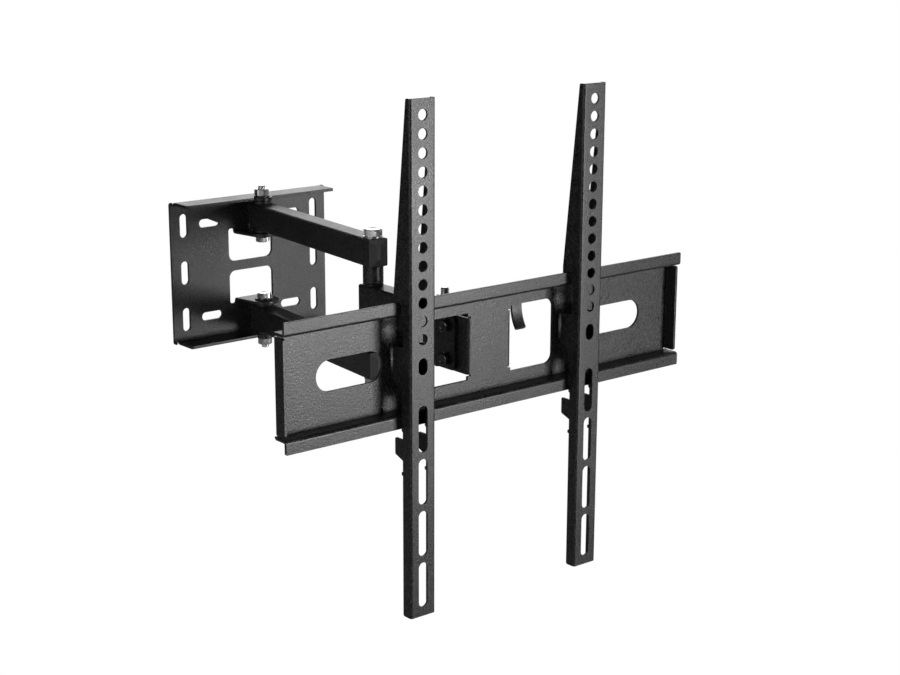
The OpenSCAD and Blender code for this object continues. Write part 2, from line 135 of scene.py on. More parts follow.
def grain(place, scale, detail=2.0, rough=0.5):
    # noise with one bump about every 1 / scale metres
    return place.node(
        "ShaderNodeTexNoise",
        {"noise_dimensions": "3D"},
        {"Vector": place, "Scale": scale, "Detail": detail, "Roughness": rough},
    )


def between(value, low, high, fromLow=0.3, fromHigh=0.7):
    return value.node(
        "ShaderNodeMapRange",
        {"clamp": True},
        {"Value": value, "From Min": fromLow, "From Max": fromHigh, "To Min": low, "To Max": high},
    )


def bumped(tree, shader, height, strength, distance):
    bump = height.node(
        "ShaderNodeBump", None, {"Height": height, "Strength": strength, "Distance": distance}
    )
    tree.links.new(bump.socket, shader.inputs["Normal"])


coating = {
    "dark": (0.006, 0.006, 0.0065),
    "light": (0.072, 0.072, 0.074),
    "flatness": (0.24, 0.42),         # roughness, lowest and highest
    "grainPerMetre": 640,
    "finePerMetre": 2600,
    "peelPerMetre": 200,
    "cloudPerMetre": 22,
    "bump": 1.0,
    "bumpHeight": 0.00022,
    "specular": 0.5,
}


def makeCoating(name, look):
    # baked powder coat: fine grit over a soft orange peel, with paler specks on the grit's tops
    material, tree, shader, place = newMaterial(name)
    grit = grain(place, look["grainPerMetre"], 2.0, 0.6)
    fine = grain(place, look["finePerMetre"], 2.0, 0.5)
    peel = grain(place, look["peelPerMetre"], 2.0, 0.5)
    cloud = grain(place, look["cloudPerMetre"], 3.0, 0.5)
    speck = between(grit * 0.7 + fine * 0.3, 0.0, 1.0, 0.45, 0.64)
    colour = mixColours(speck * between(cloud, 0.75, 1.0), look["dark"], look["light"])
    tree.links.new(colour.socket, shader.inputs["Base Color"])
    low, high = look["flatness"]
    rough = between(grit * 0.7 + cloud * 0.3, low, high)
    tree.links.new(rough.socket, shader.inputs["Roughness"])
    shader.inputs["Specular IOR Level"].default_value = look["specular"]
    bumped(tree, shader, grit * 0.8 + fine * 0.2 + peel * 0.1, look["bump"], look["bumpHeight"])
    return material


zincPlate = {
    "dark": (0.70, 0.71, 0.72),
    "light": (0.97, 0.97, 0.98),
    "roughness": (0.16, 0.34),
    "metallic": 0.92,
    "cloudPerMetre": 260,
    "pitsPerMetre": 3000,
    "scratchesPerMetre": (900, 900, 9000),
    "bump": 0.18,
    "bumpHeight": 0.00004,
}
blackZincPlate = {
    **zincPlate,
    "dark": (0.05, 0.05, 0.055),
    "light": (0.20, 0.20, 0.21),
    "roughness": (0.12, 0.24),
    "metallic": 1.0,
}


def makeZinc(name, look):
    # zinc plating: cloudy tone, fine drawn scratches and small pits
    material, tree, shader, place = newMaterial(name)
    cloud = grain(place, look["cloudPerMetre"], 4.0, 0.6)
    pits = grain(place, look["pitsPerMetre"], 2.0, 0.5)
    scratches = place.node(
        "ShaderNodeMapping", None, {"Vector": place, "Scale": look["scratchesPerMetre"]}
    )
    lines = scratches.node("ShaderNodeTexNoise", None, {"Vector": scratches, "Scale": 1.0})
    tone = between(cloud * 0.7 + lines * 0.3, 0.0, 1.0, 0.35, 0.65)
    tree.links.new(mixColours(tone, look["dark"], look["light"]).socket, shader.inputs["Base Color"])
    low, high = look["roughness"]
    rough = between(cloud * 0.5 + lines * 0.5, low, high)
    tree.links.new(rough.socket, shader.inputs["Roughness"])
    shader.inputs["Metallic"].default_value = look["metallic"]
    bumped(tree, shader, pits * 0.5 + lines * 0.5, look["bump"], look["bumpHeight"])
    return material


mouldedPlastic = {
    "dark": (0.010, 0.010, 0.011),
    "light": (0.020, 0.020, 0.021),
    "roughness": (0.38, 0.5),
    "cellsPerMetre": 1600.0,
    "cloudPerMetre": 90,
    "bump": 0.12,
    "bumpHeight": 0.00005,
}
nylon = {
    **mouldedPlastic,
    "dark": (0.012, 0.012, 0.013),
    "light": (0.024, 0.024, 0.025),
    "roughness": (0.3, 0.42),
}


def makePlastic(name, look):
    # moulded plastic with a spark-eroded grain
    material, tree, shader, place = newMaterial(name)
    cells = place.node(
        "ShaderNodeTexVoronoi", {"feature": "F1"}, {"Vector": place, "Scale": look["cellsPerMetre"]}
    )
    cloud = grain(place, look["cloudPerMetre"], 3.0, 0.5)
    tree.links.new(
        mixColours(between(cloud, 0.0, 1.0), look["dark"], look["light"]).socket,
        shader.inputs["Base Color"],
    )
    low, high = look["roughness"]
    tree.links.new(
        between(cells * 0.6 + cloud * 0.4, low, high, 0.1, 0.7).socket, shader.inputs["Roughness"]
    )
    bumped(tree, shader, cells, look["bump"], look["bumpHeight"])
    return material


blackCoat = makeCoating("blackPowderCoat", coating)
zinc = makeZinc("brightZinc", zincPlate)
darkZinc = makeZinc("blackZinc", blackZincPlate)
capPlastic = makePlastic("capPlastic", mouldedPlastic)
bushNylon = makePlastic("bushNylon", nylon)
print("materials made")


def unit(vectors):
    return vectors / np.maximum(np.linalg.norm(vectors, axis=-1, keepdims=True), 1e-12)


def rounded(corners, steps=6):
    # corners are rows of x, y and radius; each becomes an arc that touches both of its sides.
    # The arc's centre stands on the corner's bisector, radius / sin(half the corner's angle) away.
    corners = np.array(corners, float)
    point, radius = corners[:, :2], corners[:, 2]
    back, ahead = unit(np.roll(point, 1, 0) - point), unit(np.roll(point, -1, 0) - point)
    half = 0.5 * np.arccos(np.clip((back * ahead).sum(1), -1, 1))
    centre = point + unit(back + ahead) * (radius / np.sin(half))[:, None]
    cut = (radius / np.tan(half))[:, None]
    first, last = point + back * cut - centre, point + ahead * cut - centre
    turn = (math.pi - 2 * half)[:, None]
    step = np.linspace(0, 1, steps)[None, :]
    size = np.maximum(np.sin(turn), 1e-9)
    arc = (
        (np.sin((1 - step) * turn) / size)[..., None] * first[:, None]
        + (np.sin(step * turn) / size)[..., None] * last[:, None]
        + centre[:, None]
    )
    arc = np.where(radius[:, None, None] > 0, arc, point[:, None])
    ring = arc.reshape(-1, 2)
    return ring[np.linalg.norm(ring - np.roll(ring, 1, 0), axis=1) > 1e-6]


def roundedBox(x, y, halfX, halfY, radius, steps=6):
    # rectangle about x, y with rounded corners
    return rounded(
        [
            (x + halfX, y - halfY, radius), (x + halfX, y + halfY, radius),
            (x - halfX, y + halfY, radius), (x - halfX, y - halfY, radius),
        ],
        steps,
    )


def roundHole(x, y, radius, steps=44):
    # circle about x, y
    turn = np.arange(steps) * 2 * math.pi / steps
    return np.stack([x + radius * np.cos(turn), y + radius * np.sin(turn)], 1)


def slotHole(x, y, length, width, upright, steps=12):
    # two half circles joined by straight sides
    alongX, alongY = (width / 2, length / 2) if upright else (length / 2, width / 2)
    return roundedBox(x, y, alongX, alongY, min(alongX, alongY) * 0.9999, steps)


def arcSlot(x, y, radius, width, start, end, steps=16):
    # slot bent round x, y: outer arc, round end, inner arc, round end; angles run from -x towards -y
    turn = np.linspace(start, end, steps)
    cap = np.linspace(0, math.pi, 9)[1:-1]

    def at(angle, reach):
        return np.stack([x - reach * np.cos(angle), y - reach * np.sin(angle)], 1)

    def roundEnd(angle, way):
        middle = at(np.array([angle]), radius)
        out = unit(middle - [x, y])
        side = np.stack([out[:, 1], -out[:, 0]], 1) * way
        return middle + width / 2 * (np.cos(cap)[:, None] * out + np.sin(cap)[:, None] * side)

    outer, inner = at(turn, radius + width / 2), at(turn, radius - width / 2)
    endCap, startCap = roundEnd(end, -1), roundEnd(start, 1)
    return np.concatenate([outer, endCap, inner[::-1], startCap[::-1]])


def fourWay(corners):
    # one quarter of an outline, from the right end of the level axis up, copied into all four quarters
    first = np.array(corners, float)
    second = first[::-1] * [-1, 1, 1]
    return np.concatenate([first, second, first * [-1, -1, 1], first[::-1] * [1, -1, 1]])


def inside(points, ring):
    # a point is inside if a level line from it crosses the ring an odd number of times
    start, end = ring, np.roll(ring, -1, 0)
    x, y = points[:, None, 0], points[:, None, 1]
    crosses = (start[:, 1] > y) != (end[:, 1] > y)
    rise = np.where(start[:, 1] == end[:, 1], 1.0, end[:, 1] - start[:, 1])
    at = start[:, 0] + (y - start[:, 1]) * (end[:, 0] - start[:, 0]) / rise
    return (crosses & (x < at)).sum(1) % 2 == 1


def blank(outline, holes=(), lines=()):
    # flat cut sheet: triangles inside the outline and outside the holes, with an edge along each line
    rings = [outline, *holes]
    points, edges, count = [], [], 0
    for ring in [*rings, *[np.array(line, float) for line in lines]]:
        index = count + np.arange(len(ring))
        pairs = np.stack([index, np.roll(index, -1)], 1)
        edges.append(pairs if len(ring) > 2 else pairs[:1])
        points.append(ring)
        count += len(ring)
    flat = [Vector(point) for point in np.concatenate(points).tolist()]
    made = delaunay_2d_cdt(flat, np.concatenate(edges).tolist(), [], 0, 1e-6, False)
    flat, triangles = np.array([tuple(point) for point in made[0]]), np.array(made[2])
    middle = flat[triangles].mean(1)
    keep = inside(middle, outline)
    for hole in holes:
        keep &= ~inside(middle, hole)
    return flat, triangles[keep]


def fold(points, axis, at, way, up, radius, angle, where=None):
    # bends the sheet past a line: within the bend a point follows a circle of this radius,
    # past it the sheet runs on straight, and its height above the sheet turns with it
    out = points.copy()
    past = (points[:, axis] - at) * way
    take = past > 0 if where is None else (past > 0) & where
    run, high = past[take], points[take, 2] * up
    swept = np.minimum(run / radius, angle)
    beyond = np.maximum(run - radius * angle, 0)
    level = radius * np.sin(swept) + beyond * math.cos(angle) - high * np.sin(swept)
    out[take, axis] = at + way * level
    out[take, 2] = up * (
        radius * (1 - np.cos(swept)) + beyond * math.sin(angle) + high * np.cos(swept)
    )
    return out


def bendLines(axis, at, radius, angle, low, high, steps=6):
    # the lines across a bend, at equal steps, for a sheet bent along that axis
    places = at + np.sign(at) * radius * angle * np.arange(steps + 1) / steps
    if axis == 0:
        return [((place, low), (place, high)) for place in places]
    return [((low, place), (high, place)) for place in places]


def flatReach(at, radius, height):
    # where a point of a wall at this height above the sheet lies in the flat blank
    return at + radius * quarter + height - radius


def turned(points, angle):
    # turns points about the upright axis
    c, s = math.cos(angle), math.sin(angle)
    return points @ np.array([[c, s, 0], [-s, c, 0], [0, 0, 1.0]])


def newPiece(name, points, faces, material, weld=1e-6):
    # points in metres; touching parts are welded and faces turned the same way round
    mesh = bpy.data.meshes.new(name)
    mesh.from_pydata(points.tolist(), [], [list(face) for face in faces])
    work = bmesh.new()
    work.from_mesh(mesh)
    bmesh.ops.remove_doubles(work, verts=work.verts, dist=weld)
    bmesh.ops.dissolve_degenerate(work, dist=weld, edges=work.edges)
    bmesh.ops.recalc_face_normals(work, faces=work.faces)
    work.to_mesh(mesh)
    work.free()
    mesh.polygons.foreach_set("use_smooth", np.ones(len(mesh.polygons), bool))
    mesh.materials.append(material)
    piece = bpy.data.objects.new(name, mesh)
    bpy.context.scene.collection.objects.link(piece)
    return piece


def mergeFlat(piece, angle=0.4):
    # joins the triangles of each flat area into one face
    work = bmesh.new()
    work.from_mesh(piece.data)
    bmesh.ops.dissolve_limit(
        work, angle_limit=math.radians(angle), use_dissolve_boundaries=False,
        verts=work.verts, edges=work.edges, delimit=set(),
    )
    work.to_mesh(piece.data)
    work.free()
    piece.data.polygons.foreach_set("use_smooth", np.ones(len(piece.data.polygons), bool))


def softEdges(piece, width, segments=2, angle=40):
    bevel = piece.modifiers.new("edges", "BEVEL")
    bevel.limit_method = "ANGLE"
    bevel.angle_limit = math.radians(angle)
    bevel.width = width * mm
    bevel.segments = segments
    bevel.use_clamp_overlap = False
    bevel.miter_outer = "MITER_ARC"
    normals = piece.modifiers.new("normals", "WEIGHTED_NORMAL")
    normals.weight = 60


def sheetPiece(name, patches, thickness, toWorld, material, edge=0.28):
    # patches are flat blanks with their fold; they are folded, welded and given their thickness
    points, faces, count = [], [], 0
    for outline, holes, lines, bend in patches:
        flat, triangles = blank(outline, holes, lines)
        points.append(bend(np.column_stack([flat, np.zeros(len(flat))])))
        faces.append(triangles + count)
        count += len(flat)
    piece = newPiece(name, toWorld(np.concatenate(points)) * mm, np.concatenate(faces), material)
    mergeFlat(piece)
    solid = piece.modifiers.new("thickness", "SOLIDIFY")
    solid.thickness = thickness * mm
    solid.offset = 0
    solid.use_even_offset = True
    solid.use_quality_normals = True
    softEdges(piece, edge)
    return piece


def ringFaces(rows, columns, closed):
    # quads between neighbouring rows of a grid whose columns run right round
    row = np.arange(rows if closed else rows - 1)[:, None]
    column = np.arange(columns)[None, :]
    nextRow, nextColumn = (row + 1) % rows, (column + 1) % columns
    quads = [row * columns + column, row * columns + nextColumn,
             nextRow * columns + nextColumn, nextRow * columns + column]
    return np.stack(np.broadcast_arrays(*quads), -1).reshape(-1, 4)


def sharpen(piece, angle):
    piece.data.set_sharp_from_angle(angle=math.radians(angle))


def finishPiece(piece, body, slot, *nodes):
    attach(piece, body)
    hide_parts(*nodes)
    return piece


wallPlate = {
    "thickness": 3.0,
    "bend": 1.9,                      # radius of the bends at the middle of the sheet
    "flangeInset": 5.0,
    "flangeReach": 28.0,
    "boltFromWall": 26.0,
    "boltHole": 4.05,
    "tongueRadius": 10.5,
    "slot": (24.0, 8.5),
    "columnX": 78.0,
    "slotX": 48.0,
    "slotZ": 48.0,
    "windowHalfWidth": 26.0,
    "windowFoot": 5.0,
    "windowRadius": 7.0,
    "lugHalfWidth": 19.1,
    "lugRadius": 15.0,
    "lugMiddle": 35.0,                # height of the middle of a lug's sheet
    "lugStraight": 5.0,               # straight side of a lug before it narrows
    "notchTop": 39.0,
    "notchRadii": (2.6, 1.9),         # outer and inner corner of the notch beside a lug
    "reliefWidth": 1.4,
    "cornerRadius": 2.4,
}


def makeWallPlate(look):
    low, high = boxOf("wall_plate")
    t, r = look["thickness"], look["bend"]
    halfWidth, halfHeight = high[0], high[2]
    bendAt = halfHeight - t / 2 - r
    flangeHalf = halfWidth - look["flangeInset"]
    flangeEnd = flatReach(bendAt, r, look["flangeReach"] - t / 2)
    boltRow = flatReach(bendAt, r, look["boltFromWall"] - t / 2)
    tongue = look["tongueRadius"]
    corner, relief = look["cornerRadius"], look["reliefWidth"]
    halfTongue = math.sqrt(tongue ** 2 - (flangeEnd - boltRow) ** 2)
    spread = math.atan2(flangeEnd - boltRow, halfTongue)
    arc = np.linspace(spread, quarter, 10)
    tip = np.stack([tongue * np.cos(arc), boltRow + tongue * np.sin(arc), 0 * arc], 1)
    outline = rounded(fourWay(np.concatenate([
        [
            (halfWidth, halfHeight, corner), (flangeHalf + relief, halfHeight, 1.0),
            (flangeHalf + relief, bendAt, 0), (flangeHalf, bendAt, 0),
            (flangeHalf, flangeEnd, 2.5),
        ],
        tip,
    ])))
    length, width = look["slot"]
    holes = [
        slotHole(x * look["columnX"], z * look["slotZ"], length, width, True)
        for x in (-1, 1) for z in (-1, 0, 1)
    ]
    holes += [
        slotHole(x * look["slotX"], z * look["slotZ"], length, width, False)
        for x in (-1, 1) for z in (-1, 1)
    ]
    holes += [roundHole(0, z * boltRow, look["boltHole"]) for z in (-1, 1)]
    windowHalf, lugHalf = look["windowHalfWidth"], look["lugHalfWidth"]
    lugRoot = look["lugMiddle"] + r
    top, (outer, inner) = look["notchTop"], look["notchRadii"]
    window = np.array([
        (-windowHalf, look["windowFoot"], look["windowRadius"]),
        (windowHalf, look["windowFoot"], look["windowRadius"]),
        (windowHalf, top, outer), (lugHalf, top, inner), (lugHalf, lugRoot, 0),
        (-lugHalf, lugRoot, 0), (-lugHalf, top, inner), (-windowHalf, top, outer),
    ])
    holes += [rounded(window), rounded(window * [1, -1, 1])]
    lines = []
    for z in (-1, 1):
        lines += bendLines(1, z * bendAt, r, quarter, -flangeHalf, flangeHalf)

    def bendFlanges(points):
        flange = np.abs(points[:, 0]) < flangeHalf + 0.5
        for way in (-1, 1):
            points = fold(points, 1, way * bendAt, way, 1, r, quarter, flange)
        return points

    patches = [(outline, holes, lines, bendFlanges)]
    lugBolt = flatReach(0, r, look["boltFromWall"] - t / 2)
    arc = np.linspace(0, math.pi, 24)
    lug = np.concatenate([
        [(-lugHalf, 0), (lugHalf, 0), (lugHalf, look["lugStraight"])],
        np.stack([look["lugRadius"] * np.cos(arc), lugBolt + look["lugRadius"] * np.sin(arc)], 1),
        [(-lugHalf, look["lugStraight"])],
    ])
    for side in (-1, 1):
        def toFlat(points):
            return np.stack([points[:, 0], side * (lugRoot - points[:, 1])], 1)

        lugLines = [
            ((-lugHalf, side * (lugRoot - s)), (lugHalf, side * (lugRoot - s)))
            for s in r * quarter * np.arange(1, 7) / 6
        ]
        patches.append((
            toFlat(lug), [toFlat(roundHole(0, lugBolt, look["boltHole"]))], lugLines,
            lambda points, side=side: fold(points, 1, side * lugRoot, -side, 1, r, quarter),
        ))

    def toWorld(points):
        return np.stack([points[:, 0], -t / 2 - points[:, 2], points[:, 1]], 1)

    piece = sheetPiece("wallPlateSheet", patches, t, toWorld, blackCoat)
    return finishPiece(piece, "wall_side", "black_steel", "wall_plate")


makeWallPlate(wallPlate)
print("wall plate made")


armTube = {
    "thickness": 2.0,
    "bend": 1.15,                     # radius of the corners at the middle of the wall
    "bushHole": 6.0,
    "boltHole": 5.05,
}


def makeTube(name, body, node, look, length, size, over, middle, holes, place):
    # rectangular tube: the flat blank is its wall, unrolled, with the cross holes cut in it,
    # and a point goes round the rounded rectangle by its distance along the blank
    t, r = look["thickness"], look["bend"]
    a, b = size[0] / 2 - t / 2, size[1] / 2 - t / 2
    path = roundedBox(0, 0, a, b, r)
    path = np.concatenate([path, path[:1]])
    runs = np.linalg.norm(np.diff(path, axis=0), axis=1)
    along = np.concatenate([[0], np.cumsum(runs)])
    straight = np.argsort(-runs)[:4]
    centres = 0.5 * (along[straight] + along[straight + 1])
    level = np.abs(path[straight, 0] + path[straight + 1, 0]) < 1e-6     # the top and bottom walls
    outline = np.array([
        (0, -length - over), (along[-1], -length - over), (along[-1], over), (0, over)
    ])
    cuts = [
        roundHole(centre, y, radius) for centre in centres[level] for y, radius in holes
    ]
    lines = [((s, -length - over), (s, over)) for s in along[1:-1]]

    def roll(points):
        x = np.interp(points[:, 0], along, path[:, 0])
        z = np.interp(points[:, 0], along, path[:, 1])
        return np.stack([x, points[:, 1], z + middle], 1)

    piece = sheetPiece(name, [(outline, cuts, lines, roll)], t, place, blackCoat, 0.2)
    return finishPiece(piece, body, "black_steel", node)


def atFirstArm(points):
    return turned(points, firstTurn) + shoulderAt / mm


def atElbow(points):
    return points + elbowAt / mm


def atSwivel(points):
    return points + swivelAt / mm


tubeOver = 8.5
firstHeight, firstWidth = 26.0, 20.0
firstInner = 40.0                     # height of the first arms' inner faces
firstMiddle = firstInner + firstHeight / 2
secondHeight = 44.0
secondLength = float(np.linalg.norm(swivelAt - elbowAt)) / mm

for name, node, side in (("upperArmTube", "upper_arm", 1), ("lowerArmTube", "lower_arm", -1)):
    makeTube(
        name, "first_arms", node, armTube, firstLength, (firstWidth, firstHeight), tubeOver,
        side * firstMiddle, ((0, armTube["bushHole"]), (-firstLength, armTube["boltHole"])),
        atFirstArm,
    )
makeTube(
    "secondArmTube", "second_arm_body", "second_arm", armTube, secondLength,
    (firstWidth, secondHeight), tubeOver, 0,
    ((0, armTube["bushHole"]), (-secondLength, armTube["bushHole"])), atElbow,
)

endCap = {
    "face": 2.0,                      # how far the cap stands out from the tube
    "rim": 0.55,                      # upright edge of the face
    "corner": 1.6,
    "ridge": (1.6, 6.4),              # half sizes of the small flat top
    "plugGap": 2.05,
}


def makeCap(name, body, node, look, height, plug, middle, way, at, place):
    # rings of rounded rectangles, from the plug's inner end out to the flat top of a low hipped face
    face, rim, corner = look["face"], look["rim"], look["corner"]
    w, h, gap = firstWidth / 2, height / 2, look["plugGap"]
    ridgeX, ridgeZ = look["ridge"]
    ridgeZ += (height - firstHeight) / 2
    rings = [
        (0.2, 0.2, 0.1, plug), (w - gap, h - gap, 0.5, plug), (w - gap, h - gap, 0.5, 0),
        (w - 0.15, h - 0.15, corner, 0), (w, h, corner, -0.15), (w, h, corner, -rim),
        (w - 0.12, h - 0.12, corner, -rim - 0.18), (w - 0.4, h - 0.4, corner, -rim - 0.3),
        (ridgeX + 0.3, ridgeZ + 0.3, 0.5, -face + 0.04), (ridgeX, ridgeZ, 0.4, -face),
        (0.2, 0.2, 0.1, -face),
    ]
    rows = np.stack([roundedBox(0, 0, x, z, radius) for x, z, radius, y in rings])
    depth = np.array([y for x, z, radius, y in rings])[:, None]
    columns = rows.shape[1]
    y = np.broadcast_to(at + way * depth, rows.shape[:2])
    points = np.stack([rows[..., 0], y, rows[..., 1] + middle], -1)
    faces = ringFaces(len(rings), columns, False).tolist()
    faces += [list(range(columns)), list(range((len(rings) - 1) * columns, len(rings) * columns))]
    piece = newPiece(name, place(points.reshape(-1, 3)) * mm, faces, capPlastic)
    sharpen(piece, 50)
    normals = piece.modifiers.new("normals", "WEIGHTED_NORMAL")
    normals.keep_sharp = True
    return finishPiece(piece, body, "black_plastic", node)


for side, word in ((1, "upper"), (-1, "lower")):
    makeCap(
        word + "ArmFrontCap", "first_arms", word + "_arm_front_cap", endCap, firstHeight, 3.0,
        side * firstMiddle, 1, -firstLength - tubeOver, atFirstArm,
    )
    makeCap(
        word + "ArmRearCap", "first_arms", word + "_arm_rear_cap", endCap, firstHeight, 2.0,
        side * firstMiddle, -1, tubeOver, atFirstArm,
    )
makeCap(
    "secondArmCap", "second_arm_body", "second_arm_cap", endCap, secondHeight, 2.0, 0, -1,
    tubeOver, atElbow,
)
print("arms made")


around = 72                           # points round every turned or six-sided piece
turnAngles = np.arange(around) * 2 * math.pi / around


def hexRadius(acrossFlats):
    # distance from the axis to a hexagon's side, eased over its corners
    side = acrossFlats / 2 / np.cos(np.mod(turnAngles, math.pi / 3) - math.pi / 6)
    corner = acrossFlats / 2 / math.cos(math.pi / 6) * 0.985
    return (side ** -40 + corner ** -40) ** (-1 / 40)


def grid(rows):
    # rows of radius and height, each one number or one number for every angle
    radius = np.stack([np.broadcast_to(np.asarray(row[0], float), around) for row in rows])
    height = np.stack([np.broadcast_to(np.asarray(row[1], float), around) for row in rows])
    return np.stack([radius * np.cos(turnAngles), radius * np.sin(turnAngles), height], -1)


def threadRows(diameter, pitch, start, end, steps=7):
    # screw thread: the radius falls by a cosine of height / pitch less the turn about the axis,
    # fading in at its start and cut to a cone at the bolt's end
    count = int(abs(start - end) / pitch * steps)
    rows = []
    for height in np.linspace(start, end, count):
        wave = 0.5 + 0.5 * np.cos(2 * math.pi * (height / pitch) - turnAngles)
        depth = 0.55 * pitch * min(1.0, (start - height) / pitch)
        cone = diameter / 2 - 0.9 + (height - end) * 0.9
        rows.append((np.minimum(diameter / 2 - 0.02 - depth * wave ** 1.4, cone), height))
    return rows


def boltRows(diameter, length, threaded, pitch, acrossFlats, head):
    hexagon = hexRadius(acrossFlats)
    crown = 0.475 * acrossFlats
    chamfer = (hexagon - crown) * math.tan(math.radians(30))
    shank = diameter / 2 - 0.02
    rows = [
        (0.0, head - 0.25), (crown * 0.62, head - 0.25), (crown * 0.7, head),
        (crown, head), (hexagon, head - chamfer),
        (hexagon, 0.5), (crown, 0.3), (crown, 0.0), (shank, 0.0),
        (shank, -length + threaded),
    ]
    rows += threadRows(diameter, pitch, -length + threaded, -length)
    return rows + [(0.0, -length)]


def nutRows(diameter, acrossFlats, height):
    hexagon = hexRadius(acrossFlats)
    crown = 0.475 * acrossFlats
    chamfer = (hexagon - crown) * math.tan(math.radians(30))
    bore, mouth = diameter / 2 + 0.04, diameter / 2 + 0.6
    return [
        (bore, 0.5), (mouth, 0.0), (crown, 0.0), (hexagon, chamfer),
        (hexagon, height - chamfer), (crown, height), (mouth, height), (bore, height - 0.5),
    ]


def washerRows(outer, bore, height, edge=0.25):
    a, b = outer / 2, bore / 2 + 0.04
    return [
        (b, edge), (b + edge, 0), (a - edge, 0), (a, edge),
        (a, height - edge), (a - edge, height), (b + edge, height), (b, height - edge),
    ]


def bushRows(flange, barrel, bore, height, depth, edge=0.3):
    a, b, c = flange / 2, barrel / 2, bore / 2 + 0.04
    return [
        (c, -depth), (b - edge, -depth), (b, -depth + edge), (b, 0), (a - edge, 0), (a, edge),
        (a, height - edge), (a - edge, height), (c + edge, height), (c, height - edge),
    ]


def aim(points, at, way, turn=0.0):
    # stands a piece made along +Z at a point, along way, turned about its own axis
    way = unit(np.array(way, float))
    side = unit(np.cross([0.0, 1.0, 0.0] if abs(way[1]) < 0.9 else [1.0, 0.0, 0.0], way))
    other = np.cross(way, side)
    c, s = math.cos(turn), math.sin(turn)
    x = points[..., 0] * c - points[..., 1] * s
    y = points[..., 0] * s + points[..., 1] * c
    return (
        x[..., None] * side + y[..., None] * other + points[..., 2:] * way + np.array(at, float)
    )


def makeTurned(name, body, slot, material, node, parts, sharp=28, closed=False):
    # parts are pairs of a grid of rows and a function that puts its points in their place
    points, faces, count = [], [], 0
    for rows, place in parts:
        rings = grid(rows)
        points.append(place(rings).reshape(-1, 3))
        faces.append(ringFaces(len(rings), around, closed) + count)
        count += rings.shape[0] * around
    piece = newPiece(name, np.concatenate(points) * mm, np.concatenate(faces), material, 2e-6)
    sharpen(piece, sharp)
    normals = piece.modifiers.new("normals", "WEIGHTED_NORMAL")
    normals.keep_sharp = True
    return finishPiece(piece, body, slot, node)


fasteners = {
    "small": (8.0, 1.25, 13.0, 5.3),      # diameter, pitch, across flats, head height
    "large": (10.0, 1.5, 16.0, 6.4),
    "tilt": (6.0, 1.0, 10.0, 4.0),
    "washer": 1.6,                        # thickness
    "tiltWasher": 1.2,
    "washerWidths": (16.0, 19.0, 18.0, 12.0),  # flanges and head, lugs, elbow, tilt
    "bush": (19.0, 12.0),                 # flange and barrel across
    "smallNut": 6.5,
    "swivelNut": 4.0,
    "largeNut": 8.0,
    "tiltNut": 5.0,
}

wallHalf = boxOf("wall_plate")[1][2]
lugFace = wallPlate["lugMiddle"] - wallPlate["thickness"] / 2
smallBolt = fasteners["small"]
largeBolt = fasteners["large"]
tiltBolt = fasteners["tilt"]
washer = fasteners["washer"]
flangeWasher, lugWasher, elbowWasher, tiltOuter = fasteners["washerWidths"]
bush = fasteners["bush"]
shoulderMm, swivelMm = shoulderAt / mm, swivelAt / mm
elbowMm = elbowAt / mm


def standing(at, z, side, turn=0.0):
    # puts a piece on an upright axis, pointing up for side 1 and down for side -1
    return lambda points: aim(points, (at[0], at[1], z), (0, 0, side), turn)


shoulderLength = wallHalf - lugFace + 2 * washer + 10
makeTurned(
    "shoulderBolts", "wall_side", "zinc", zinc, "shoulder_bolts",
    [
        (boltRows(smallBolt[0], shoulderLength, 22, *smallBolt[1:]),
         standing(shoulderMm, side * (lugFace - washer), -side, 0.25 * side))
        for side in (-1, 1)
    ],
)
makeTurned(
    "shoulderWashers", "wall_side", "black_steel", blackCoat, "shoulder_washers",
    [
        (washerRows(outer, smallBolt[0], washer), standing(shoulderMm, side * z, side))
        for side in (-1, 1) for outer, z in ((lugWasher, lugFace - washer), (flangeWasher, wallHalf))
    ],
    closed=True,
)
makeTurned(
    "shoulderNuts", "wall_side", "zinc", zinc, "shoulder_nuts",
    [
        (nutRows(smallBolt[0], smallBolt[2], fasteners["smallNut"]),
         standing(shoulderMm, side * (wallHalf + washer), side, 0.4))
        for side in (-1, 1)
    ],
    closed=True,
)

firstTop = firstMiddle + firstHeight / 2
flangeInner = wallHalf - wallPlate["thickness"]
lugGap = firstInner - lugFace - wallPlate["thickness"]
sideGap = 0.3
makeTurned(
    "shoulderBushes", "first_arms", "bush_nylon", bushNylon, "shoulder_bushes",
    [
        (bushRows(*bush, smallBolt[0], flangeInner - firstTop - sideGap, firstHeight / 2 - 1),
         standing(shoulderMm, side * firstTop, side))
        for side in (-1, 1)
    ] + [
        (bushRows(*bush, smallBolt[0], lugGap - sideGap, firstHeight / 2 - 1),
         standing(shoulderMm, side * firstInner, -side))
        for side in (-1, 1)
    ],
    closed=True,
)

elbowLength = 2 * firstTop + 2 * washer + 11
makeTurned(
    "elbowBolt", "first_arms", "zinc", zinc, "elbow_bolt",
    [(boltRows(largeBolt[0], elbowLength, 26, *largeBolt[1:]),
      standing(elbowMm, firstTop + washer, 1, 0.12))],
)
makeTurned(
    "elbowWashers", "first_arms", "zinc", zinc, "elbow_washers",
    [(washerRows(elbowWasher, largeBolt[0], washer), standing(elbowMm, side * firstTop, side))
     for side in (-1, 1)],
    closed=True,
)
makeTurned(
    "elbowNut", "first_arms", "zinc", zinc, "elbow_nut",
    [(nutRows(largeBolt[0], largeBolt[2], fasteners["largeNut"]),
      standing(elbowMm, -firstTop - washer, -1, 0.3))],
    closed=True,
)

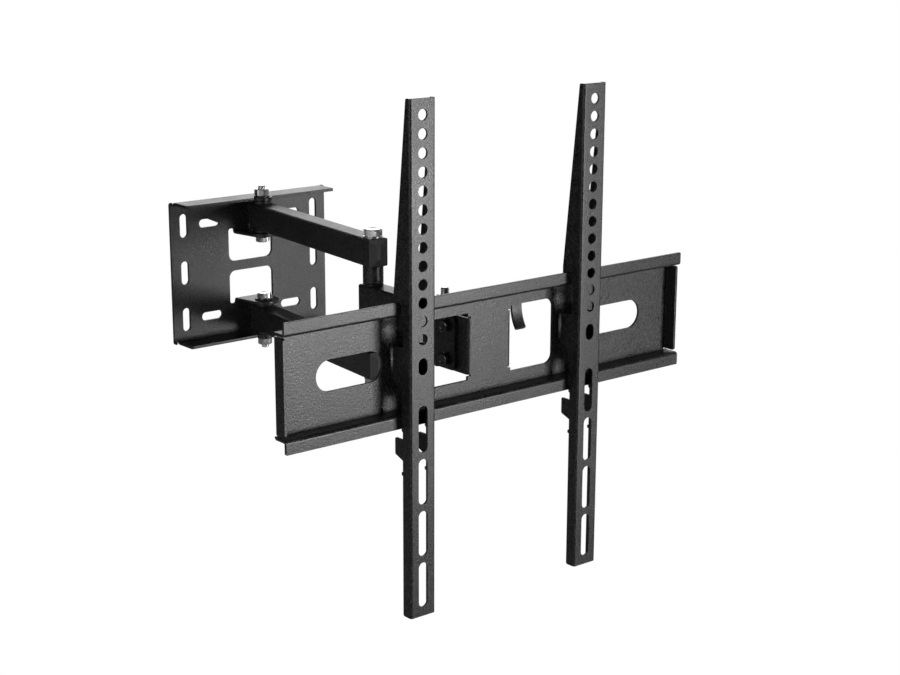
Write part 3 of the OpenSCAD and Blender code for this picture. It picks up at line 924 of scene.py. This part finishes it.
bushFlange, swivelFlange = 1.7, 0.9   # flange thickness of the elbow and swivel bushes
spacerFoot = secondHeight / 2 + bushFlange + sideGap
for side, word in ((1, "upper"), (-1, "lower")):
    makeTurned(
        word + "ElbowSpacer", "first_arms", "black_steel", blackCoat, word + "_elbow_spacer",
        [(washerRows(bush[0], largeBolt[0], firstInner - spacerFoot, 0.5),
          standing(elbowMm, side * spacerFoot, side))],
        closed=True,
    )
makeTurned(
    "elbowBushes", "second_arm_body", "bush_nylon", bushNylon, "elbow_bushes",
    [(bushRows(*bush, largeBolt[0], bushFlange, secondHeight / 2 - 2),
      standing(elbowMm, side * secondHeight / 2, side)) for side in (-1, 1)],
    closed=True,
)
makeTurned(
    "swivelBushes", "second_arm_body", "bush_nylon", bushNylon, "swivel_bushes",
    [(bushRows(*bush, smallBolt[0], swivelFlange, secondHeight / 2 - 2, 0.2),
      standing(swivelMm, side * secondHeight / 2, side)) for side in (-1, 1)],
    closed=True,
)
print("arm fasteners made")


headBracket = {
    "thickness": 3.0,
    "bend": 1.9,
    "webMiddle": 16.3,                # in front of the swivel axis
    "cheekOuter": 27.3,
    "cheekFront": 46.2,
    "cheekHalf": 23.5,
    "cornerRadius": 4.0,
    "pivotHole": 3.05,
    "lockRadius": 29.2,
    "lockWidth": 6.6,
    "lockRange": (75, 95),
    "flangeHalf": 14.0,
    "flangeMiddle": 24.7,
    "boltHole": 4.05,
}
tiltAhead = float(swivelAt[1] - tiltAt[1]) / mm
tiltHigh = float(tiltAt[2]) / mm


def makeHead(look):
    t, r, web = look["thickness"], look["bend"], look["webMiddle"]
    sideBend = look["cheekOuter"] - t / 2 - r
    flangeBend = look["flangeMiddle"] - r
    half, flangeHalf = look["cheekHalf"], look["flangeHalf"]
    cheekEnd = flatReach(sideBend, r, look["cheekFront"] - web)
    boltRow = flatReach(flangeBend, r, web)
    webTop = look["flangeMiddle"] + t / 2
    outline = rounded(fourWay([
        (cheekEnd, half, look["cornerRadius"]), (sideBend - 0.4, half, 0.0),
        (sideBend - 0.4, webTop, 1.0), (flangeHalf + 1.4, webTop, 0.6),
        (flangeHalf + 1.4, flangeBend, 0.0), (flangeHalf, flangeBend, 0.0),
        (flangeHalf, boltRow + flangeHalf, flangeHalf),
    ]), 12)
    pivot = flatReach(sideBend, r, tiltAhead - web)
    start, end = np.radians(look["lockRange"])
    lock = arcSlot(pivot, tiltHigh, look["lockRadius"], look["lockWidth"], start, end)
    holes = [roundHole(0, z * boltRow, look["boltHole"]) for z in (-1, 1)]
    for x in (-1, 1):
        holes += [roundHole(x * pivot, tiltHigh, look["pivotHole"]), lock * [x, 1]]
    lines = []
    for way in (-1, 1):
        lines += bendLines(0, way * sideBend, r, quarter, -half, half)
        lines += bendLines(1, way * flangeBend, r, quarter, -flangeHalf, flangeHalf)

    def bend(points):
        flange = np.abs(points[:, 0]) < flangeHalf + 0.5
        cheek = np.abs(points[:, 1]) < half + 0.5
        for way in (-1, 1):
            points = fold(points, 1, way * flangeBend, way, -1, r, quarter, flange)
            points = fold(points, 0, way * sideBend, way, 1, r, quarter, cheek)
        return points

    def toWorld(points):
        return atSwivel(np.stack([points[:, 0], -web - points[:, 2], points[:, 1]], 1))

    piece = sheetPiece("headBracketSheet", [(outline, holes, lines, bend)], t, toWorld, blackCoat)
    return finishPiece(piece, "head", "black_steel", "head_bracket")


makeHead(headBracket)
headTop = headBracket["flangeMiddle"] + headBracket["thickness"] / 2
swivelLength = 2 * headTop + washer + 10
makeTurned(
    "swivelBolt", "head", "zinc", zinc, "swivel_bolt",
    [(boltRows(smallBolt[0], swivelLength, 20, *smallBolt[1:]), standing(swivelMm, -headTop, -1))],
)
makeTurned(
    "swivelWasher", "head", "zinc", zinc, "swivel_washer",
    [(washerRows(flangeWasher, smallBolt[0], washer), standing(swivelMm, headTop, 1))], closed=True,
)
makeTurned(
    "swivelNut", "head", "zinc", zinc, "swivel_nut",
    [(nutRows(smallBolt[0], smallBolt[2], fasteners["swivelNut"]),
      standing(swivelMm, headTop + washer, 1, 0.2))], closed=True,
)


def beside(side, out, z):
    # puts a piece on a level tilt axis, with its seat this far out from the middle
    at = swivelMm + [side * out, -tiltAhead, z]
    return lambda points: aim(points, at, (side, 0, 0), 0.2 * side)


cheekGap = 0.1
seat = headBracket["cheekOuter"] + cheekGap
tiltWasher = fasteners["tiltWasher"]
adapterThickness = 2.5
tiltGrip = cheekGap + headBracket["thickness"] + sideGap + adapterThickness
tiltLength = tiltGrip + tiltWasher + 7
for name, node, z in (
    ("tiltPivotBolts", "tilt_pivot_bolts", tiltHigh), ("tiltLockBolts", "tilt_lock_bolts", -tiltHigh)
):
    makeTurned(
        name, "tilt_plate", "dark_zinc", darkZinc, node,
        [(boltRows(tiltBolt[0], tiltLength, 10, *tiltBolt[1:]), beside(side, seat + tiltWasher, z))
         for side in (-1, 1)],
    )
makeTurned(
    "tiltWashers", "tilt_plate", "dark_zinc", darkZinc, "tilt_washers",
    [(washerRows(tiltOuter, tiltBolt[0], tiltWasher, 0.2), beside(side, seat, z))
     for side in (-1, 1) for z in (-tiltHigh, tiltHigh)], closed=True,
)
makeTurned(
    "tiltNuts", "tilt_plate", "dark_zinc", darkZinc, "tilt_nuts",
    [(nutRows(tiltBolt[0], tiltBolt[2], fasteners["tiltNut"]),
      beside(side, seat - tiltGrip - fasteners["tiltNut"], z))
     for side in (-1, 1) for z in (-tiltHigh, tiltHigh)], closed=True,
)
print("head made")


adapter = {
    "thickness": adapterThickness,
    "bend": 1.6,
    "faceFront": 60.2,                # in front of the swivel axis
    "ledgeHalf": 43.5,
    "ledge": 13.7,
    "lipTop": 52.7,
    "endInset": 0.5,
    "endFlange": 11.0,
    "endHalf": 39.6,
    "windowIn": 24.0,
    "windowOut": 72.0,
    "windowHalf": 29.0,
    "windowRadius": 8.0,
    "earHalf": 24.6,
    "earRadius": 10.0,
    "earBehind": 26.0,                # the ears' rear edges, in front of the swivel axis
    "boltHole": 3.05,
    "endSlot": (146.5, 65.0, 26.0),
    "hook": (24.9, 36.0, 36.0, 35),   # sides along X, radius, angle
}


def makeAdapter(look):
    t, r = look["thickness"], look["bend"]
    low, high = boxOf("adapter_plate")
    halfWidth = (high[0] - low[0]) / 2
    middle = look["faceFront"] - t / 2
    ledgeMiddle = look["ledgeHalf"] - t / 2
    bendIn = ledgeMiddle - r
    bendOut = bendIn + r * quarter + look["ledge"] - 2 * r
    lipEnd = bendOut + r * quarter + look["lipTop"] - ledgeMiddle - r
    endBend = halfWidth - look["endInset"] - t / 2 - r
    endReach = flatReach(endBend, r, look["endFlange"] + t / 2)
    endHalf = look["endHalf"]
    outline = rounded(fourWay([
        (endReach, endHalf, 2.0), (endBend - 1.0, endHalf, 0.0), (endBend - 1.0, bendIn, 0.0),
        (halfWidth, bendIn, 0.0), (halfWidth, lipEnd, 1.2),
    ]))
    earBend = look["windowIn"] - t / 2 - r
    earReach = flatReach(earBend, r, middle - look["earBehind"])
    earBolt = flatReach(earBend, r, middle - tiltAhead)
    earHalf, windowHalf = look["earHalf"], look["windowHalf"]
    hookLeft, hookRight, hookRadius, hookAngle = look["hook"]
    upper = [
        (look["windowOut"], windowHalf, look["windowRadius"]),
        (hookRight, windowHalf, 0.0), (hookLeft, windowHalf, 0.0),
        (look["windowIn"], windowHalf, 0.4), (look["windowIn"], earHalf + 1.3, 0.0),
        (earBend - 0.5, earHalf + 1.3, 0.6), (earBend - 0.5, earHalf, 0.6),
        (earReach, earHalf, look["earRadius"]),
    ]
    window = np.array(upper + [(x, -y, corner) for x, y, corner in upper[::-1]])
    slotX, slotLength, slotWidth = look["endSlot"]
    holes = []
    for side in (-1, 1):
        holes.append(rounded(window * [side, 1, 1], 8))
        holes.append(slotHole(side * slotX, 0, slotLength, slotWidth, False, 16))
        holes += [roundHole(side * earBolt, z * tiltHigh, look["boltHole"]) for z in (-1, 1)]
    lines = []
    for way in (-1, 1):
        lines += bendLines(1, way * bendIn, r, quarter, -halfWidth, halfWidth)
        lines += bendLines(1, way * bendOut, r, quarter, -halfWidth, halfWidth)
        lines += bendLines(0, way * endBend, r, quarter, -endHalf, endHalf)
        lines += bendLines(0, way * earBend, r, quarter, -earHalf, earHalf)

    def bend(points):
        x, y = np.abs(points[:, 0]), np.abs(points[:, 1])
        end = (y < endHalf + 0.2) & (x > endBend)
        ear = (y < earHalf + 0.2) & (x < earReach + 1)
        for way in (-1, 1):
            points = fold(points, 1, way * bendOut, way, -1, r, quarter)
            points = fold(points, 1, way * bendIn, way, 1, r, quarter)
            points = fold(points, 0, way * endBend, way, 1, r, quarter, end)
            points = fold(points, 0, way * earBend, way, -1, r, quarter, ear)
        return points

    def toWorld(points):
        return atSwivel(np.stack([points[:, 0], -middle - points[:, 2], points[:, 1]], 1))

    curl = math.radians(hookAngle)
    hookLength = hookRadius * curl
    hook = rounded([
        (hookLeft, windowHalf, 0.0), (hookLeft, windowHalf - hookLength, 1.5),
        (hookRight, windowHalf - hookLength, 1.5), (hookRight, windowHalf, 0.0),
    ])
    hookLines = [
        ((hookLeft, windowHalf - s), (hookRight, windowHalf - s))
        for s in hookLength * np.arange(1, 14) / 15
    ]

    def bendHook(points):
        return fold(points, 1, windowHalf, -1, 1, hookRadius, curl)

    piece = sheetPiece(
        "adapterPlateSheet",
        [(outline, holes, lines, bend), (hook, [], hookLines, bendHook)],
        t, toWorld, blackCoat,
    )
    return finishPiece(piece, "tilt_plate", "black_steel", "adapter_plate")


makeAdapter(adapter)
print("adapter plate made")


bracket = {
    "thickness": 2.0,
    "bend": 1.4,
    "halfWidth": 13.0,
    "front": 86.2,                    # in front of the swivel axis
    "firstHole": 202.5,
    "holeStep": 15.0,
    "holeCount": 13,
    "holeRadius": 4.5,
    "shortSlot": 13.8,
    "longSlot": 39.3,
    "longTop": -52.5,
    "longStep": 45.0,
    "longCount": 4,
    "side": [                         # depth behind the front face, height, corner radius
        (10.5, -215.3, 1.6), (10.5, -92.4, 0.4), (12.2, -92.1, 0.7), (12.2, -89.4, 0.7),
        (10.5, -89.1, 0.4), (10.5, -79.5, 0.8), (20.7, -75.7, 1.5), (20.7, -61.5, 1.5),
        (10.5, -61.5, 0.8), (10.5, -55.2, 0.3), (12.0, -54.2, 0.3), (12.0, -16.0, 1.0),
        (19.9, -16.0, 1.2), (22.9, -13.0, 1.2), (22.9, 14.0, 1.5), (9.6, 16.0, 1.0),
        (9.6, 41.0, 0.6), (12.0, 42.5, 0.6), (12.0, 53.0, 0.4), (15.2, 53.0, 0.4),
        (15.2, 45.5, 0.4), (22.0, 45.5, 1.2), (22.0, 56.7, 2.0), (5.8, 215.3, 1.2),
    ],
}


def makeBracket(name, body, node, look):
    t, r = look["thickness"], look["bend"]
    low, high = boxOf(node)
    middleX = (low[0] + high[0]) / 2
    bendAt = look["halfWidth"] - t / 2 - r
    side = np.array(look["side"])
    side[:, 0] = flatReach(bendAt, r, side[:, 0] - t / 2)
    outline = rounded(np.concatenate([side, side[::-1] * [-1, 1, 1]]))
    width = 2 * look["holeRadius"]
    holes = [
        roundHole(0, look["firstHole"] - i * look["holeStep"], look["holeRadius"])
        for i in range(look["holeCount"])
    ]
    holes.append(slotHole(0, 0, look["shortSlot"], width, True))
    holes += [
        slotHole(0, look["longTop"] - i * look["longStep"], look["longSlot"], width, True)
        for i in range(look["longCount"])
    ]
    lines = []
    for way in (-1, 1):
        lines += bendLines(0, way * bendAt, r, quarter, side[0, 1], side[-1, 1])

    def bend(points):
        for way in (-1, 1):
            points = fold(points, 0, way * bendAt, way, -1, r, quarter)
        return points

    def toWorld(points):
        y = swivelMm[1] - look["front"] + t / 2 - points[:, 2]
        return np.stack([points[:, 0] + middleX, y, points[:, 1]], 1)

    piece = sheetPiece(name, [(outline, holes, lines, bend)], t, toWorld, blackCoat, 0.25)
    return finishPiece(piece, body, "black_steel", node)


makeBracket("leftBracketSheet", "left_screen_bracket", "left_bracket", bracket)
makeBracket("rightBracketSheet", "right_screen_bracket", "right_bracket", bracket)
print("screen brackets made")


studio = {
    "floorBelow": 0.30,               # metres under the object's lowest point
    "floorSize": 16.0,
    "floorColour": (0.5, 0.5, 0.5),
    "cameraAt": (-0.9399, -1.4741, 0.3639),
    "azimuth": -39.33,
    "elevation": 14.31,
    "roll": 0.178,
    "lens": 68.66,
    "worldColour": (1.0, 1.0, 1.0),
    "worldStrength": 0.012,
    "lampTarget": (0.0, -0.3, 0.0),
}

lamps = {                             # place, size, power
    "front": ((0.92, -2.2, -0.12), (0.6, 0.85), 28),
    "low": ((1.3, -2.2, -0.9), (1.0, 0.5), 5),
    "left": ((-2.4, -0.3, 0.6), (1.2, 1.4), 7),
    "leftFront": ((-2.2, -1.6, 0.4), (0.8, 1.4), 8),
    "rear": ((1.2, 2.4, 0.55), (3.2, 1.1), 22),
    "right": ((2.4, -0.2, 0.6), (1.2, 1.4), 9),
}


def makeFloor(look, lowest):
    # a wide level sheet, faintly uneven in tone
    half = look["floorSize"] / 2
    steps = np.linspace(-half, half, 9)
    x, y = np.meshgrid(steps, steps)
    points = np.stack([x, y, np.full_like(x, lowest - look["floorBelow"])], -1).reshape(-1, 3)
    n = len(steps)
    corner = (np.arange(n - 1)[:, None] * n + np.arange(n - 1)[None, :]).ravel()
    faces = np.stack([corner, corner + 1, corner + n + 1, corner + n], 1)
    material, tree, shader, place = newMaterial("paleFloor")
    cloud = grain(place, 3.0, 2.0, 0.5)
    shade = tuple(0.985 * part for part in look["floorColour"])
    tree.links.new(
        mixColours(between(cloud, 0.0, 1.0), shade, look["floorColour"]).socket,
        shader.inputs["Base Color"],
    )
    shader.inputs["Roughness"].default_value = 0.9
    shader.inputs["Specular IOR Level"].default_value = 0.1
    seen = place.node("ShaderNodeLightPath", out="Is Camera Ray")
    lit = place.node("ShaderNodeEmission", None, {"Color": (1, 1, 1, 1), "Strength": 1.0})
    mixed = place.node("ShaderNodeMixShader", None, {0: seen, 2: lit})
    tree.links.new(shader.outputs["BSDF"], mixed.socket.node.inputs[1])
    tree.links.new(mixed.socket, tree.nodes["Material Output"].inputs["Surface"])
    floor = newPiece("studioFloor", points, faces, material)


def makeLamp(name, at, target, size, power):
    data = bpy.data.lights.new(name, "AREA")
    data.shape = "RECTANGLE"
    data.size, data.size_y = size
    data.energy = power
    lamp = bpy.data.objects.new(name, data)
    lamp.location = at
    lamp.rotation_euler = (Vector(target) - Vector(at)).to_track_quat("-Z", "Y").to_euler()
    bpy.context.scene.collection.objects.link(lamp)


def makeCamera(look):
    azimuth, elevation, roll = (math.radians(look[key]) for key in ("azimuth", "elevation", "roll"))
    back = Vector((
        math.sin(azimuth) * math.cos(elevation),
        -math.cos(azimuth) * math.cos(elevation),
        math.sin(elevation),
    ))
    data = bpy.data.cameras.new("camera")
    data.lens, data.sensor_width = look["lens"], 36.0
    data.clip_start, data.clip_end = 0.05, 60.0
    camera = bpy.data.objects.new("camera", data)
    camera.location = look["cameraAt"]
    level = (-back).to_track_quat("-Z", "Y").to_matrix()
    camera.rotation_euler = (level @ Matrix.Rotation(roll, 3, "Z")).to_euler()
    bpy.context.scene.collection.objects.link(camera)
    bpy.context.scene.camera = camera


def makeWorld(look):
    # white behind the object, with little light of its own
    world = bpy.data.worlds.new("studioWorld")
    world.use_nodes = True
    tree = world.node_tree
    background = tree.nodes["Background"]
    background.inputs["Color"].default_value = (*look["worldColour"], 1)
    background.inputs["Strength"].default_value = look["worldStrength"]
    seen = Shade(tree).node("ShaderNodeLightPath", out="Is Camera Ray")
    white = seen.node("ShaderNodeBackground", None, {"Color": (1, 1, 1, 1), "Strength": 1.0})
    mixed = seen.node("ShaderNodeMixShader", None, {0: seen, 2: white})
    tree.links.new(background.outputs[0], mixed.socket.node.inputs[1])
    tree.links.new(mixed.socket, tree.nodes["World Output"].inputs["Surface"])
    bpy.context.scene.world = world


makeWorld(studio)
bpy.context.scene.view_settings.view_transform = "Standard"

makeFloor(studio, cadBox[0][2])
for name, (at, size, power) in lamps.items():
    makeLamp(name + "Lamp", at, studio["lampTarget"], size, power)
makeCamera(studio)
print("studio made")
